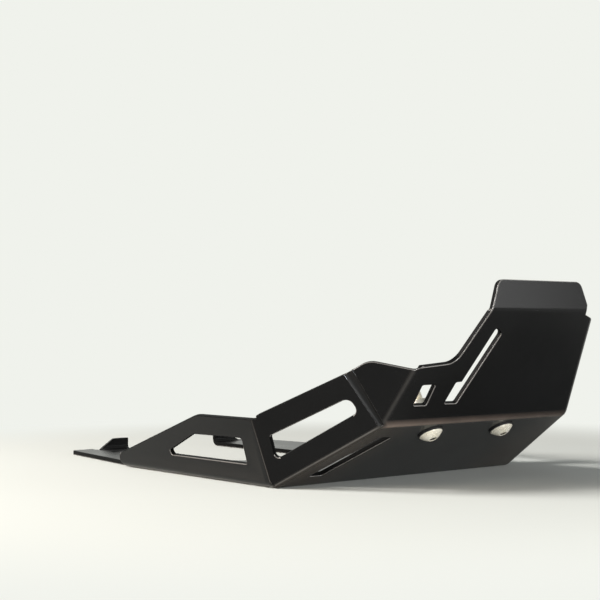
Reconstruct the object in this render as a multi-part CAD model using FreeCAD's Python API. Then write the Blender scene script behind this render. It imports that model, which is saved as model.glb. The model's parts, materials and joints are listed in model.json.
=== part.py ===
"""Engine guard for a motorbike: one folded aluminium sheet with its two front fixings.

The guard is a tray that wraps the front and the underside of the engine. It is laid out from the
outside planes of its panels, which give one convex block. The block is drawn in by the bend radius
and rounded out again twice, and the skin left between the two is the sheet with every bend in it.
The skin is then trimmed to the panel outlines, as a laser would cut them.

Millimetres and degrees. X is forward, Y is the bike's left side, Z is up, and the belly is at Z = 0.
"""

import FreeCAD
import Part

import math
import os

from FreeCAD import Placement, Rotation, Vector

# Sheet
SHEET = 4.0
BEND_INNER = 3.5

# Panel layout
BELLY_HALF_WIDTH = 130.0
REAR_REACH = 341.0
SIDE_FLARE = 18.5
NOSE_RISE = 28.9
NOSE_LENGTH = 101.2
FRONT_HALF_WIDTH = 99.8
FRONT_LEAN = 29.6
FRONT_SIDE_TAPER = 0.23
FRONT_HEIGHT = 94.6
LIP_LEAN_BACK = 3.4
LIP_HEIGHT = 21.8

# Side wing outline, along the belly fold and up the panel
WING_HEIGHT = 54.7
WING_LENGTH = 217.0
WING_TOP_LENGTH = 76.0
WING_TAIL_HEIGHT = 12.0
WING_TAIL_RADIUS = 8.0
WING_FOOT_RADIUS = 7.0
WING_TOP_RADIUS = 40.0

# Corner wing heights, up the panel at its rear and front seams
CORNER_REAR_HEIGHT = 53.0
CORNER_FRONT_HEIGHT = 45.0

# Front wings, up the front fold and rearwards from it
RIGHT_PEAK = (36.3, 31.4)
RIGHT_PEAK_RADIUS = 15.0
RIGHT_FRONT_HEIGHT = 47.3
LEFT_SHOULDER = (64.0, 25.0)
LEFT_SHOULDER_RADIUS = 25.0
LEFT_FRONT_HEIGHT = 90.0

# Front panel outline: the right side is cut away for the exhaust pipes
CUTAWAY_CORNER = (-50.8, 50.7)
CUTAWAY_RADIUS = 13.0
LIP_RIGHT_END = -35.4
LIP_LEFT_END = 71.8
LIP_END_TAPER = 8.6
LIP_CORNER_RADIUS = 7.5
LIP_RELIEF = 4.4
LIP_RELIEF_RADIUS = 1.2

# Windows and vents: corners as (along, up, radius)
SIDE_WINDOW = (
    (-127.4, 17.6, 2.0), (-23.4, 17.6, 2.5), (-21.4, 38.8, 2.5),
    (-86.0, 38.2, 5.0), (-129.6, 21.2, 2.0),
)
CORNER_WINDOW = ((16.6, 17.0, 3.0), (95.9, 17.0, 5.0), (95.9, 29.3, 6.0), (23.4, 34.5, 2.5))
NOSE_VENT = (
    (-107.4, 16.8, 2.0), (-94.0, 16.6, 2.0), (-73.2, 81.4, 3.0),
    (-86.9, 82.0, 2.0), (-93.0, 56.6, 1.5), (-95.2, 54.0, 0.8),
)
FRONT_VENT_SHORT = ((-77.0, 16.2, 1.5), (-64.0, 16.0, 1.5), (-62.6, 33.2, 1.5), (-75.4, 33.0, 1.5))
FRONT_VENT_LONG = (
    (-46.4, 16.6, 1.5), (-33.6, 16.4, 1.5), (-15.6, 74.6, 3.5),
    (-23.4, 79.8, 2.0), (-36.8, 34.7, 1.0), (-42.4, 34.4, 1.5),
)

# Belly opening and the two arms behind it
OPENING_HALF_WIDTH = 52.0
OPENING_FRONT = -150.0
OPENING_RADIUS = 26.0
ARM_HALF_WIDTH = 124.0
ARM_END_HALF_WIDTH = 108.0
ARM_CORNER_RADIUS = 5.0
EAR_PAST_TAB = 8.0
TAB_HEIGHT = 14.0
TAB_TOP_END = 68.0
TAB_FOOT_END = 83.0
RELIEF_RADIUS = 2.0
TAB_CORNER_RADIUS = 4.0
TAB_SLIT = 2.5
SLIT_RADIUS = 1.2

# Seam between the corner wing and the front wing
SEAM_FOOT_RADIUS = 2.2
SEAM_TOP_RADIUS = 5.0
SEAM_DEPTH = 2.0

# Fixings
SCREW_SIZE = 8.0
SCREW_LENGTH = 40.0
SHANK_DIAMETER = 7.1
SHANK_PAST_SLEEVE = 0.5
SCREW_CLEARANCE = 0.4
FLANGE_DIAMETER = 18.0
FLANGE_HEIGHT = 1.0
FLANGE_RIM = 0.7
DOME_DIAMETER = 16.8
HEAD_HEIGHT = 4.4
DOME_FLAT = 7.6
DOME_BULGE = 0.7
SOCKET_WIDTH = 5.0
SOCKET_DEPTH = 2.8
SCREW_CHAMFER = 1.0
WASHER_DIAMETER = 19.8
WASHER_HEIGHT = 1.2
RUBBER_DIAMETER = 24.0
RUBBER_HEIGHT = 3.0
SLEEVE_DIAMETER = 16.0
SLEEVE_LENGTH = 18.0
SLEEVE_CHAMFER = 0.6
FRONT_FIXING_HALF_SPACING = 38.3
FRONT_FIXING_UP_NOSE = 84.8
REAR_HOLE_HALF_SPACING = 84.0
REAR_HOLE_FROM_END = 33.0
REAR_HOLE_DIAMETER = 9.0

# Reach of the block and of the cutting tools past the sheet
BLOCK_HEIGHT = 190.0
TOOL_PAST = 3.0
TOOL_OUT = 15.0
TOOL_FAR = 200.0
SEAM_OVERLAP = 2.0

BEND_OUTER = BEND_INNER + SHEET
EAR_REACH = REAR_REACH + EAR_PAST_TAB
TOOL_IN = SHEET + TOOL_PAST
BORE_DIAMETER = SCREW_SIZE + SCREW_CLEARANCE
GRIP = WASHER_HEIGHT + SHEET + RUBBER_HEIGHT + SLEEVE_LENGTH


def mirrored(vector):
    """Give the same point or direction on the other side of the bike."""
    return Vector(vector.x, -vector.y, vector.z)


def unit(vector):
    """Give a direction of length one."""
    return vector * (1.0 / vector.Length)


def reflected(normal, first, second):
    """Reflect a plane's normal in the plane that holds two directions."""
    across = unit(first.cross(second))
    return normal - across * (2.0 * normal.dot(across))


class Plane:
    """An outside plane of the guard, by its outward normal and a point on it."""

    def __init__(self, normal, point):
        self.normal = normal
        self.point = point

    def mirror(self):
        """Give the matching plane on the other side."""
        return Plane(mirrored(self.normal), mirrored(self.point))

    def reach(self, inset):
        """Give the distance from the origin, once drawn in by an inset."""
        return self.normal.dot(self.point) - inset


def meet(first, second, third, inset=0.0):
    """Give the point where three planes meet, each drawn in by an inset."""
    a, b, c = first.normal, second.normal, third.normal
    total = b.cross(c) * first.reach(inset)
    total += c.cross(a) * second.reach(inset)
    total += a.cross(b) * third.reach(inset)
    return total * (1.0 / a.dot(b.cross(c)))


class Layout:
    """The outside planes of the panels, and the corners where their folds meet."""

    def __init__(self):
        flare = math.radians(SIDE_FLARE)
        rise = math.radians(NOSE_RISE)
        lean = math.radians(FRONT_LEAN)
        lip = math.radians(LIP_LEAN_BACK)
        self.belly_corner = Vector(0, -BELLY_HALF_WIDTH, 0)
        self.nose_up = Vector(math.cos(rise), 0, math.sin(rise))
        self.front_up = Vector(math.sin(lean), 0, math.cos(lean))
        self.front_foot = self.nose_up * NOSE_LENGTH
        self.lip_foot = self.front_foot + self.front_up * FRONT_HEIGHT
        self.nose_corner = self.front_foot - Vector(0, FRONT_HALF_WIDTH, 0)
        self.corner_fold = unit(self.nose_corner - self.belly_corner)
        self.front_fold = unit(self.front_up + Vector(0, FRONT_SIDE_TAPER, 0))

        self.belly = Plane(Vector(0, 0, -1), Vector(0, 0, 0))
        self.nose = Plane(Vector(math.sin(rise), 0, -math.cos(rise)), Vector(0, 0, 0))
        self.front = Plane(Vector(math.cos(lean), 0, -math.sin(lean)), self.front_foot)
        self.lip = Plane(Vector(math.cos(lip), 0, math.sin(lip)), self.lip_foot)
        self.top = Plane(Vector(0, 0, 1), Vector(0, 0, BLOCK_HEIGHT))
        self.rear = Plane(Vector(-1, 0, 0), Vector(-REAR_REACH, 0, 0))
        self.side = Plane(Vector(0, -math.cos(flare), -math.sin(flare)), self.belly_corner)

        # Each corner panel touches the same ball in its corner as the panels beside it do,
        # so all the bends there run into one another.
        ball = meet(self.side, self.nose, self.belly, BEND_OUTER) - self.belly_corner
        self.corner = Plane(reflected(self.nose.normal, self.corner_fold, ball), self.belly_corner)
        ball = meet(self.corner, self.nose, self.front, BEND_OUTER) - self.nose_corner
        self.wing = Plane(reflected(self.front.normal, self.front_fold, ball), self.nose_corner)
        self.rear_seam = unit(self.side.normal.cross(self.corner.normal))
        self.front_seam = unit(self.corner.normal.cross(self.wing.normal))


def block(layout, inset):
    """Build the convex block inside the panels, with every plane drawn in by an inset."""
    right = (layout.side, layout.corner, layout.wing)
    left = tuple(plane.mirror() for plane in right)
    belly, nose, front, lip, top, rear = (
        layout.belly, layout.nose, layout.front, layout.lip, layout.top, layout.rear,
    )
    faces = []
    rims = {}
    for name, (side, corner, wing) in (("right", right), ("left", left)):
        tail = meet(side, belly, rear, inset)
        tail_top = meet(side, rear, top, inset)
        belly_end = meet(side, belly, nose, inset)
        belly_top = meet(side, corner, top, inset)
        nose_end = meet(corner, nose, front, inset)
        nose_top = meet(corner, wing, top, inset)
        lip_end = meet(wing, front, lip, inset)
        lip_top = meet(wing, lip, top, inset)
        faces.append((tail, belly_end, belly_top, tail_top))
        faces.append((belly_end, nose_end, nose_top, belly_top))
        faces.append((nose_end, lip_end, lip_top, nose_top))
        rims[name] = (tail_top, tail, belly_end, nose_end, lip_end, lip_top, nose_top, belly_top)
    right_rim = rims["right"]
    left_rim = rims["left"]
    for index in range(5):
        faces.append((right_rim[index], right_rim[index + 1], left_rim[index + 1], left_rim[index]))
    faces.append(right_rim[5:] + right_rim[:1] + left_rim[:1] + left_rim[:4:-1])
    shell = Part.makeShell([Part.Face(Part.makePolygon(list(face) + [face[0]])) for face in faces])
    solid = Part.makeSolid(shell)
    if solid.Volume < 0:
        solid.reverse()
    return solid


def skin(layout):
    """Build the folded sheet before it is trimmed."""
    core = block(layout, BEND_OUTER)
    outer = core.makeOffsetShape(BEND_OUTER, 0.001, False, False, 0, 0)
    inner = core.makeOffsetShape(BEND_INNER, 0.001, False, False, 0, 0)
    return outer.cut(inner)


def outline(corners):
    """Make a closed face from corners given as (x, y) or (x, y, radius)."""
    points = [Vector(corner[0], corner[1], 0) for corner in corners]
    radii = [corner[2] if len(corner) > 2 else 0.0 for corner in corners]
    edges = []
    ends = []
    for index, point in enumerate(points):
        back = unit(points[index - 1] - point)
        ahead = unit(points[(index + 1) % len(points)] - point)
        half = back.getAngle(ahead) / 2.0
        reach = radii[index] / math.tan(half)
        start = point + back * reach
        finish = point + ahead * reach
        ends.append((start, finish))
        if radii[index] > 0:
            middle = unit(back + ahead)
            centre = point + middle * (radii[index] / math.sin(half))
            edges.append(Part.Arc(start, centre - middle * radii[index], finish).toShape())
    for index, (start, finish) in enumerate(ends):
        following = ends[(index + 1) % len(ends)][0]
        if finish.distanceToPoint(following) > 0.001:
            edges.append(Part.makeLine(finish, following))
    return Part.Face(Part.Wire(Part.__sortEdges__(edges)))


def tool(corners, place, inward=TOOL_IN, outward=TOOL_OUT):
    """Make a cutting tool from an outline, set on a panel and run through it."""
    solid = outline(corners).extrude(Vector(0, 0, inward + outward))
    solid.translate(Vector(0, 0, -inward))
    solid.Placement = place.multiply(solid.Placement)
    return solid


def panel_place(origin, along, normal):
    """Place an outline on a panel: x along the panel, y up it and z out of it."""
    return Placement(origin, Rotation(along, normal.cross(along), normal, "ZXY"))


def on_left(solid):
    """Give the mirror image of a solid on the bike's left side."""
    return solid.mirror(Vector(0, 0, 0), Vector(0, 1, 0))


def seam_point(place, corner, direction, height):
    """Give where a seam reaches a height on a panel, in the panel's own axes."""
    start = place.inverse().multVec(corner)
    step = place.inverse().Rotation.multVec(direction)
    run = (height - start.y) / step.y
    return start.x + step.x * run, height


def wing_tools(layout):
    """Cut the tops of the right side wing and corner wing, which the left side mirrors."""
    side = panel_place(layout.belly_corner, Vector(1, 0, 0), layout.side.normal)
    corner = panel_place(layout.belly_corner, layout.corner_fold, layout.corner.normal)
    side_top = (
        (SEAM_OVERLAP, WING_HEIGHT),
        (-WING_TOP_LENGTH, WING_HEIGHT, WING_TOP_RADIUS),
        (-WING_LENGTH, WING_TAIL_HEIGHT, WING_TAIL_RADIUS),
        (-WING_LENGTH, -TOOL_FAR),
        (-REAR_REACH - TOOL_FAR, -TOOL_FAR),
        (-REAR_REACH - TOOL_FAR, TOOL_FAR),
        (SEAM_OVERLAP, TOOL_FAR),
    )
    rear_x, rear_y = seam_point(corner, layout.belly_corner, layout.rear_seam, CORNER_REAR_HEIGHT)
    front_x, front_y = seam_point(corner, layout.nose_corner, layout.front_seam, CORNER_FRONT_HEIGHT)
    fall = (front_y - rear_y) / (front_x - rear_x)
    far_x, far_y = seam_point(corner, layout.nose_corner, layout.front_seam, TOOL_FAR)
    corner_top = (
        (rear_x - SEAM_OVERLAP, rear_y - SEAM_OVERLAP * fall),
        (front_x + SEAM_OVERLAP, front_y + SEAM_OVERLAP * fall),
        (far_x + SEAM_OVERLAP, far_y),
        (rear_x - SEAM_OVERLAP, far_y),
    )
    return [
        tool(side_top, side),
        tool(corner_top, corner),
        tool(SIDE_WINDOW, side),
        tool(CORNER_WINDOW, corner),
        seam_groove(layout),
    ]


def seam_groove(layout):
    """Scoop the groove that widens upwards along the front seam; its root stays welded."""
    out = unit(layout.corner.normal + layout.wing.normal)
    long = TOOL_FAR / 2.0
    top = SEAM_FOOT_RADIUS + (SEAM_TOP_RADIUS - SEAM_FOOT_RADIUS) * long / CORNER_FRONT_HEIGHT
    start = layout.nose_corner + out * (SEAM_FOOT_RADIUS - SEAM_DEPTH)
    finish = layout.nose_corner + layout.front_seam * long + out * (top - SEAM_DEPTH)
    axis = finish - start
    return Part.makeCone(SEAM_FOOT_RADIUS, top, axis.Length, start, axis)


def front_wing_tool(layout, height, peak, radius):
    """Cut the top of a front wing, drawn on the right side."""
    place = panel_place(layout.nose_corner, layout.front_fold, layout.wing.normal)
    corner = panel_place(layout.belly_corner, layout.corner_fold, layout.corner.normal)
    top_x, top_y = seam_point(corner, layout.nose_corner, layout.front_seam, CORNER_FRONT_HEIGHT)
    seam = place.inverse().multVec(corner.multVec(Vector(top_x, top_y, 0)))
    far = seam + place.inverse().Rotation.multVec(layout.front_seam) * (TOOL_FAR / 2.0)
    past = unit(seam - Vector(peak[0], peak[1], 0)) * SEAM_OVERLAP
    edge = (
        (height + TOOL_OUT, -TOOL_OUT),
        (height, 0),
        (peak[0], peak[1], radius),
        (seam.x + past.x, seam.y + past.y),
        (far.x + past.x, far.y + past.y),
        (TOOL_FAR, far.y + past.y),
        (TOOL_FAR, -TOOL_OUT),
    )
    return tool(edge, place)


def front_tools(layout):
    """Cut the front panel and the lip to their outline, and the vents in the right half."""
    place = panel_place(layout.front_foot, Vector(0, 1, 0), layout.front.normal)
    corner_x, corner_y = CUTAWAY_CORNER
    steep = (LIP_RIGHT_END - corner_x) / (FRONT_HEIGHT - corner_y)
    past = FRONT_HEIGHT + LIP_HEIGHT / 2.0
    right_fold = FRONT_SIDE_TAPER * RIGHT_FRONT_HEIGHT - FRONT_HALF_WIDTH
    left_fold = FRONT_HALF_WIDTH - FRONT_SIDE_TAPER * LEFT_FRONT_HEIGHT
    cutaway = (
        (right_fold - TOOL_OUT, RIGHT_FRONT_HEIGHT + TOOL_OUT),
        (right_fold, RIGHT_FRONT_HEIGHT),
        (corner_x, corner_y, CUTAWAY_RADIUS),
        (corner_x + steep * (past - corner_y), past),
        (-TOOL_FAR, past),
        (-TOOL_FAR, RIGHT_FRONT_HEIGHT + TOOL_OUT),
    )
    relief = (
        (LIP_LEFT_END, FRONT_HEIGHT - LIP_RELIEF, LIP_RELIEF_RADIUS),
        (left_fold, LEFT_FRONT_HEIGHT),
        (left_fold + TOOL_OUT, past),
        (LIP_LEFT_END, past),
    )
    tools = [tool(cutaway, place), tool(relief, place)]
    tools += [tool(vent, place) for vent in (FRONT_VENT_SHORT, FRONT_VENT_LONG)]

    lip = panel_place(layout.lip_foot, Vector(0, 1, 0), layout.lip.normal)
    lip_outline = (
        (LIP_RIGHT_END - LIP_END_TAPER, -LIP_HEIGHT),
        (LIP_RIGHT_END + LIP_END_TAPER, LIP_HEIGHT, LIP_CORNER_RADIUS),
        (LIP_LEFT_END - LIP_END_TAPER, LIP_HEIGHT, LIP_CORNER_RADIUS),
        (LIP_LEFT_END, 0),
        (LIP_LEFT_END, -LIP_HEIGHT),
    )
    around = ((-TOOL_FAR, 0), (TOOL_FAR, 0), (TOOL_FAR, TOOL_FAR), (-TOOL_FAR, TOOL_FAR))
    tools.append(tool(around, lip, TOOL_FAR / 2.0).cut(tool(lip_outline, lip, TOOL_FAR)))
    return tools


def nose_tools(layout):
    """Cut the vent and the two screw holes in the nose panel."""
    place = panel_place(Vector(0, 0, 0), Vector(0, 1, 0), layout.nose.normal)
    tools = [tool(NOSE_VENT, place)]
    for centre in fixing_points(layout):
        out = layout.nose.normal
        tools.append(Part.makeCylinder(BORE_DIAMETER / 2.0, TOOL_IN + TOOL_OUT, centre - out * TOOL_IN, out))
    return tools


def belly_tools(layout):
    """Cut the rear opening, the arm ends with their tabs, and the rear holes."""
    flat = Placement()
    rear = -REAR_REACH
    opening = (
        (rear - TOOL_FAR, -OPENING_HALF_WIDTH),
        (OPENING_FRONT, -OPENING_HALF_WIDTH, OPENING_RADIUS),
        (OPENING_FRONT, OPENING_HALF_WIDTH, OPENING_RADIUS),
        (rear - TOOL_FAR, OPENING_HALF_WIDTH),
    )
    tools = [tool(opening, flat, TOOL_FAR, TOOL_FAR)]

    beside_arm = (
        (-WING_LENGTH, -ARM_HALF_WIDTH, RELIEF_RADIUS),
        (-EAR_REACH, -ARM_END_HALF_WIDTH, ARM_CORNER_RADIUS),
        (-EAR_REACH, -TAB_FOOT_END),
        (-EAR_REACH - TOOL_FAR, -TAB_FOOT_END),
        (-EAR_REACH - TOOL_FAR, -TOOL_FAR),
        (-WING_LENGTH, -TOOL_FAR),
    )
    side = tool(beside_arm, flat, TOOL_FAR, TOOL_FAR)
    beside_tab = (
        (-EAR_REACH - TOOL_OUT, -TAB_FOOT_END - TAB_SLIT),
        (rear + BEND_OUTER + TAB_SLIT, -TAB_FOOT_END - TAB_SLIT, SLIT_RADIUS),
        (rear + BEND_OUTER + TAB_SLIT, -TAB_FOOT_END, SLIT_RADIUS),
        (-EAR_REACH - TOOL_OUT, -TAB_FOOT_END),
    )
    slit = tool(beside_tab, flat, TOOL_FAR, TOOL_FAR)
    tab_side = panel_place(Vector(rear, 0, 0), Vector(0, 1, 0), Vector(1, 0, 0))
    above_tab = (
        (-TOOL_FAR, SHEET),
        (-TAB_FOOT_END, SHEET, TAB_CORNER_RADIUS),
        (-TAB_TOP_END, TAB_HEIGHT, TAB_CORNER_RADIUS),
        (0, TAB_HEIGHT),
        (0, TOOL_FAR),
        (-TOOL_FAR, TOOL_FAR),
    )
    top = tool(above_tab, tab_side, TOOL_OUT, TOOL_OUT)
    hole = Part.makeCylinder(
        REAR_HOLE_DIAMETER / 2.0, TOOL_OUT * 2.0,
        Vector(rear + REAR_HOLE_FROM_END, -REAR_HOLE_HALF_SPACING, -TOOL_OUT),
    )
    for solid in (side, slit, top, hole, tail_round()):
        tools += [solid, on_left(solid)]
    return tools


def ear():
    """Carry the right arm on flat, past the tab that is turned up beside it."""
    length = EAR_PAST_TAB + BEND_OUTER * 2.0
    return Part.makeBox(length, ARM_HALF_WIDTH - TAB_FOOT_END, SHEET, Vector(-EAR_REACH, -ARM_HALF_WIDTH, 0))


def tail_round():
    """Round the lower rear corner of the right side wing."""
    long = WING_FOOT_RADIUS + TOOL_OUT
    corner = Part.makeBox(long, TOOL_FAR, long)
    corner.translate(Vector(-WING_LENGTH - TOOL_OUT, -ARM_HALF_WIDTH - TOOL_FAR, -TOOL_OUT))
    start = Vector(-WING_LENGTH + WING_FOOT_RADIUS, -ARM_HALF_WIDTH - TOOL_FAR, WING_FOOT_RADIUS)
    return corner.cut(Part.makeCylinder(WING_FOOT_RADIUS, TOOL_FAR, start, Vector(0, 1, 0)))


def fixing_points(layout):
    """Give where the two front screws cross the outside of the nose panel."""
    centre = layout.nose_up * FRONT_FIXING_UP_NOSE
    return [centre + Vector(0, side * FRONT_FIXING_HALF_SPACING, 0) for side in (-1.0, 1.0)]


def guard_plate(layout):
    """Build the folded guard."""
    plate = skin(layout).fuse([ear(), on_left(ear())])
    reach = REAR_REACH + TOOL_FAR
    roof = layout.lip_foot.z + LIP_HEIGHT + SHEET
    tools = [Part.makeBox(reach * 2.0, reach * 2.0, reach, Vector(-reach, -reach, roof))]
    for solid in wing_tools(layout):
        tools += [solid, on_left(solid)]
    tools.append(front_wing_tool(layout, RIGHT_FRONT_HEIGHT, RIGHT_PEAK, RIGHT_PEAK_RADIUS))
    tools.append(on_left(front_wing_tool(layout, LEFT_FRONT_HEIGHT, LEFT_SHOULDER, LEFT_SHOULDER_RADIUS)))
    tools += front_tools(layout) + nose_tools(layout) + belly_tools(layout)
    for solid in tools:
        plate = plate.cut(solid)
    return plate.removeSplitter()


def screw():
    """Build a flanged button head screw along Z, with the underside of its flange at Z = 0."""
    flange = FLANGE_DIAMETER / 2.0
    dome = DOME_DIAMETER / 2.0
    flat = DOME_FLAT / 2.0
    shank = SHANK_DIAMETER / 2.0
    waist = Vector(dome, 0, FLANGE_HEIGHT)
    crown = Vector(flat, 0, HEAD_HEIGHT)
    bulge = (waist + crown) * 0.5 + unit(Vector(0, 1, 0).cross(crown - waist)) * DOME_BULGE
    thread = SCREW_SIZE / 2.0
    tip = -SCREW_LENGTH
    neck = -GRIP - SHANK_PAST_SLEEVE
    path = [
        Part.makeLine(Vector(0, 0, HEAD_HEIGHT), crown),
        Part.makeLine(crown, bulge),
        Part.makeLine(bulge, waist),
        Part.makeLine(waist, Vector(flange, 0, FLANGE_RIM)),
        Part.makeLine(Vector(flange, 0, FLANGE_RIM), Vector(flange, 0, 0)),
        Part.makeLine(Vector(flange, 0, 0), Vector(shank, 0, 0)),
        Part.makeLine(Vector(shank, 0, 0), Vector(shank, 0, neck)),
        Part.makeLine(Vector(shank, 0, neck), Vector(thread, 0, neck)),
        Part.makeLine(Vector(thread, 0, neck), Vector(thread, 0, tip + SCREW_CHAMFER)),
        Part.makeLine(Vector(thread, 0, tip + SCREW_CHAMFER), Vector(thread - SCREW_CHAMFER, 0, tip)),
        Part.makeLine(Vector(thread - SCREW_CHAMFER, 0, tip), Vector(0, 0, tip)),
        Part.makeLine(Vector(0, 0, tip), Vector(0, 0, HEAD_HEIGHT)),
    ]
    body = Part.Face(Part.Wire(path)).revolve(Vector(0, 0, 0), Vector(0, 0, 1), 360)
    reach = SOCKET_WIDTH / math.sqrt(3.0)
    turns = [math.radians(60.0 * step) for step in range(7)]
    hexagon = Part.makePolygon([Vector(reach * math.cos(turn), reach * math.sin(turn), 0) for turn in turns])
    socket = Part.Face(hexagon).extrude(Vector(0, 0, HEAD_HEIGHT))
    socket.translate(Vector(0, 0, HEAD_HEIGHT - SOCKET_DEPTH))
    return body.cut(socket)


def ring(diameter, height, foot, chamfer=0.0):
    """Build a ring around the screw, standing on a height along Z."""
    body = Part.makeCylinder(diameter / 2.0, height, Vector(0, 0, foot))
    if chamfer > 0:
        rims = [edge for edge in body.Edges if edge.Curve.TypeId == "Part::GeomCircle"]
        body = body.makeChamfer(chamfer, rims)
    return body.cut(Part.makeCylinder(BORE_DIAMETER / 2.0, height, Vector(0, 0, foot)))


def fixing():
    """Build one front fixing along Z, with the outside of the sheet at Z = 0."""
    head = screw()
    head.translate(Vector(0, 0, WASHER_HEIGHT))
    behind = -SHEET - RUBBER_HEIGHT
    return {
        "screw": head,
        "washer": ring(WASHER_DIAMETER, WASHER_HEIGHT, 0.0),
        "rubber": ring(RUBBER_DIAMETER, RUBBER_HEIGHT, behind),
        "sleeve": ring(SLEEVE_DIAMETER, SLEEVE_LENGTH, behind - SLEEVE_LENGTH, SLEEVE_CHAMFER),
    }


def main():
    """Build every piece, set the guard's middle over the origin and write the parts."""
    layout = Layout()
    pieces = {"guard_plate": guard_plate(layout)}
    for side, point in zip(("right", "left"), fixing_points(layout)):
        place = panel_place(point, Vector(0, 1, 0), layout.nose.normal)
        for name, solid in fixing().items():
            solid.Placement = place.multiply(solid.Placement)
            pieces["front_%s_%s" % (name, side)] = solid
    box = pieces["guard_plate"].BoundBox
    os.makedirs("parts", exist_ok=True)
    for name, solid in pieces.items():
        solid.translate(Vector(-box.Center.x, 0, 0))
        solid.exportStep("parts/%s.step" % name)
        bounds = solid.BoundBox
        print(name, len(solid.Solids), solid.isValid(), round(solid.Volume), bounds)


main()
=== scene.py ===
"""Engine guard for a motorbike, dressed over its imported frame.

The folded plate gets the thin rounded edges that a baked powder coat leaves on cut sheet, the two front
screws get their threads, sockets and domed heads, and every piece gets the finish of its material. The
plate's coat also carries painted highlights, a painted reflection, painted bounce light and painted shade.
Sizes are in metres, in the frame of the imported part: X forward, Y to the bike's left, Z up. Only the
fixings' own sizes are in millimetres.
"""

import json
import logging
import math
from dataclasses import dataclass, field
from enum import Enum
from typing import Any

import bmesh
import bpy
from mathutils import Matrix, Vector
from mathutils.bvhtree import BVHTree

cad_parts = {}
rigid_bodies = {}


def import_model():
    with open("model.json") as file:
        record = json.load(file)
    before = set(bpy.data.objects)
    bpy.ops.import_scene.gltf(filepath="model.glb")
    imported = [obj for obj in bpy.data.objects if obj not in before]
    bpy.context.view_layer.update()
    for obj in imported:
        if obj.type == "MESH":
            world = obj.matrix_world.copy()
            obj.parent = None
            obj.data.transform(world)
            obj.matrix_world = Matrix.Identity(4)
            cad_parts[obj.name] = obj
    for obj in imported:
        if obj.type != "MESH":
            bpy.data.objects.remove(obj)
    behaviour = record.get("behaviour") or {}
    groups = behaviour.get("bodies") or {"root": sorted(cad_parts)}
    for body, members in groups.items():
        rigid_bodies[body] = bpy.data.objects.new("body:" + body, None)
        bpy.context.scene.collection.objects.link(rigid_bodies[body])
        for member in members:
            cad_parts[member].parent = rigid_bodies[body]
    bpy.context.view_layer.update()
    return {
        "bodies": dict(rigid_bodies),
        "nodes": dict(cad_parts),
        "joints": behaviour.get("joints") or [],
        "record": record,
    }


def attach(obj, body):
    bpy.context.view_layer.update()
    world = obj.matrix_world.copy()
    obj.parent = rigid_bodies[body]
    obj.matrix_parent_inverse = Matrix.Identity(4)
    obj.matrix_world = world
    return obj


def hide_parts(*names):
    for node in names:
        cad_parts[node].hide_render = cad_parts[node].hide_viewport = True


LOG = logging.getLogger("engine_guard")
MM = 0.001
# The name of the mesh layer that says how far round a fold each point lies.
FOLD_NAME = "fold"
# The middle of the fold between the nose panel and the front panel.
NOSE_FOLD = Vector((195.494, 0.0, 48.908)) * MM
# Most values of a noise texture lie between these two.
NOISE_LOW = 0.3
NOISE_HIGH = 0.7


class Side(Enum):
    """The two sides of the bike, as the sign of Y."""

    RIGHT = -1.0
    LEFT = 1.0

    @property
    def word(self) -> str:
        """Give the word that the piece names end in."""
        return self.name.lower()


def linear(colour: str) -> tuple[float, float, float, float]:
    """Turn an sRGB hex colour to linear RGBA.

    Args:
        colour: a colour such as "#1c1c1d".

    Returns:
        Red, green, blue and alpha in linear light.
    """
    values = [int(colour[i : i + 2], 16) / 255.0 for i in (1, 3, 5)]
    red, green, blue = [v / 12.92 if v <= 0.04045 else ((v + 0.055) / 1.055) ** 2.4 for v in values]
    return red, green, blue, 1.0


def per_metre(size_mm: float) -> float:
    """Give the texture scale whose features are about a size in millimetres."""
    return 1.0 / (size_mm * MM)


def add(
    tree: bpy.types.NodeTree,
    kind: str,
    inputs: dict[str | int, Any] | None = None,
    **settings: Any,
) -> bpy.types.Node:
    """Add a node with its settings, values and links.

    Args:
        tree: the node tree of a material or world.
        kind: the node's type, such as "ShaderNodeTexNoise".
        inputs: input names or numbers, each with a value or with the socket to link from.
        settings: the node's own properties.

    Returns:
        The new node.
    """
    node = tree.nodes.new(kind)
    for name, value in settings.items():
        setattr(node, name, value)
    for key, value in (inputs or {}).items():
        if isinstance(value, bpy.types.NodeSocket):
            tree.links.new(value, node.inputs[key])
        else:
            node.inputs[key].default_value = value
    return node


def new_tree(name: str) -> tuple[bpy.types.Material, bpy.types.NodeTree]:
    """Make an empty node material.

    Args:
        name: the material's name.

    Returns:
        The material and its node tree.
    """
    material = bpy.data.materials.new(name)
    material.use_nodes = True
    material.node_tree.nodes.clear()
    return material, material.node_tree


def seen_ray(tree: bpy.types.NodeTree) -> bpy.types.NodeSocket:
    """Tell the rays that show the backdrop, to the eye or in a reflection, from those that only light.

    Args:
        tree: the node tree of a material or world.

    Returns:
        A socket that is 1 for camera, glossy and transmission rays.
    """
    path = add(tree, "ShaderNodeLightPath")
    shown = path.outputs["Is Camera Ray"]
    for kind in ("Is Glossy Ray", "Is Transmission Ray"):
        larger = add(tree, "ShaderNodeMath", {0: shown, 1: path.outputs[kind]}, operation="MAXIMUM")
        shown = larger.outputs[0]
    return shown


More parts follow.
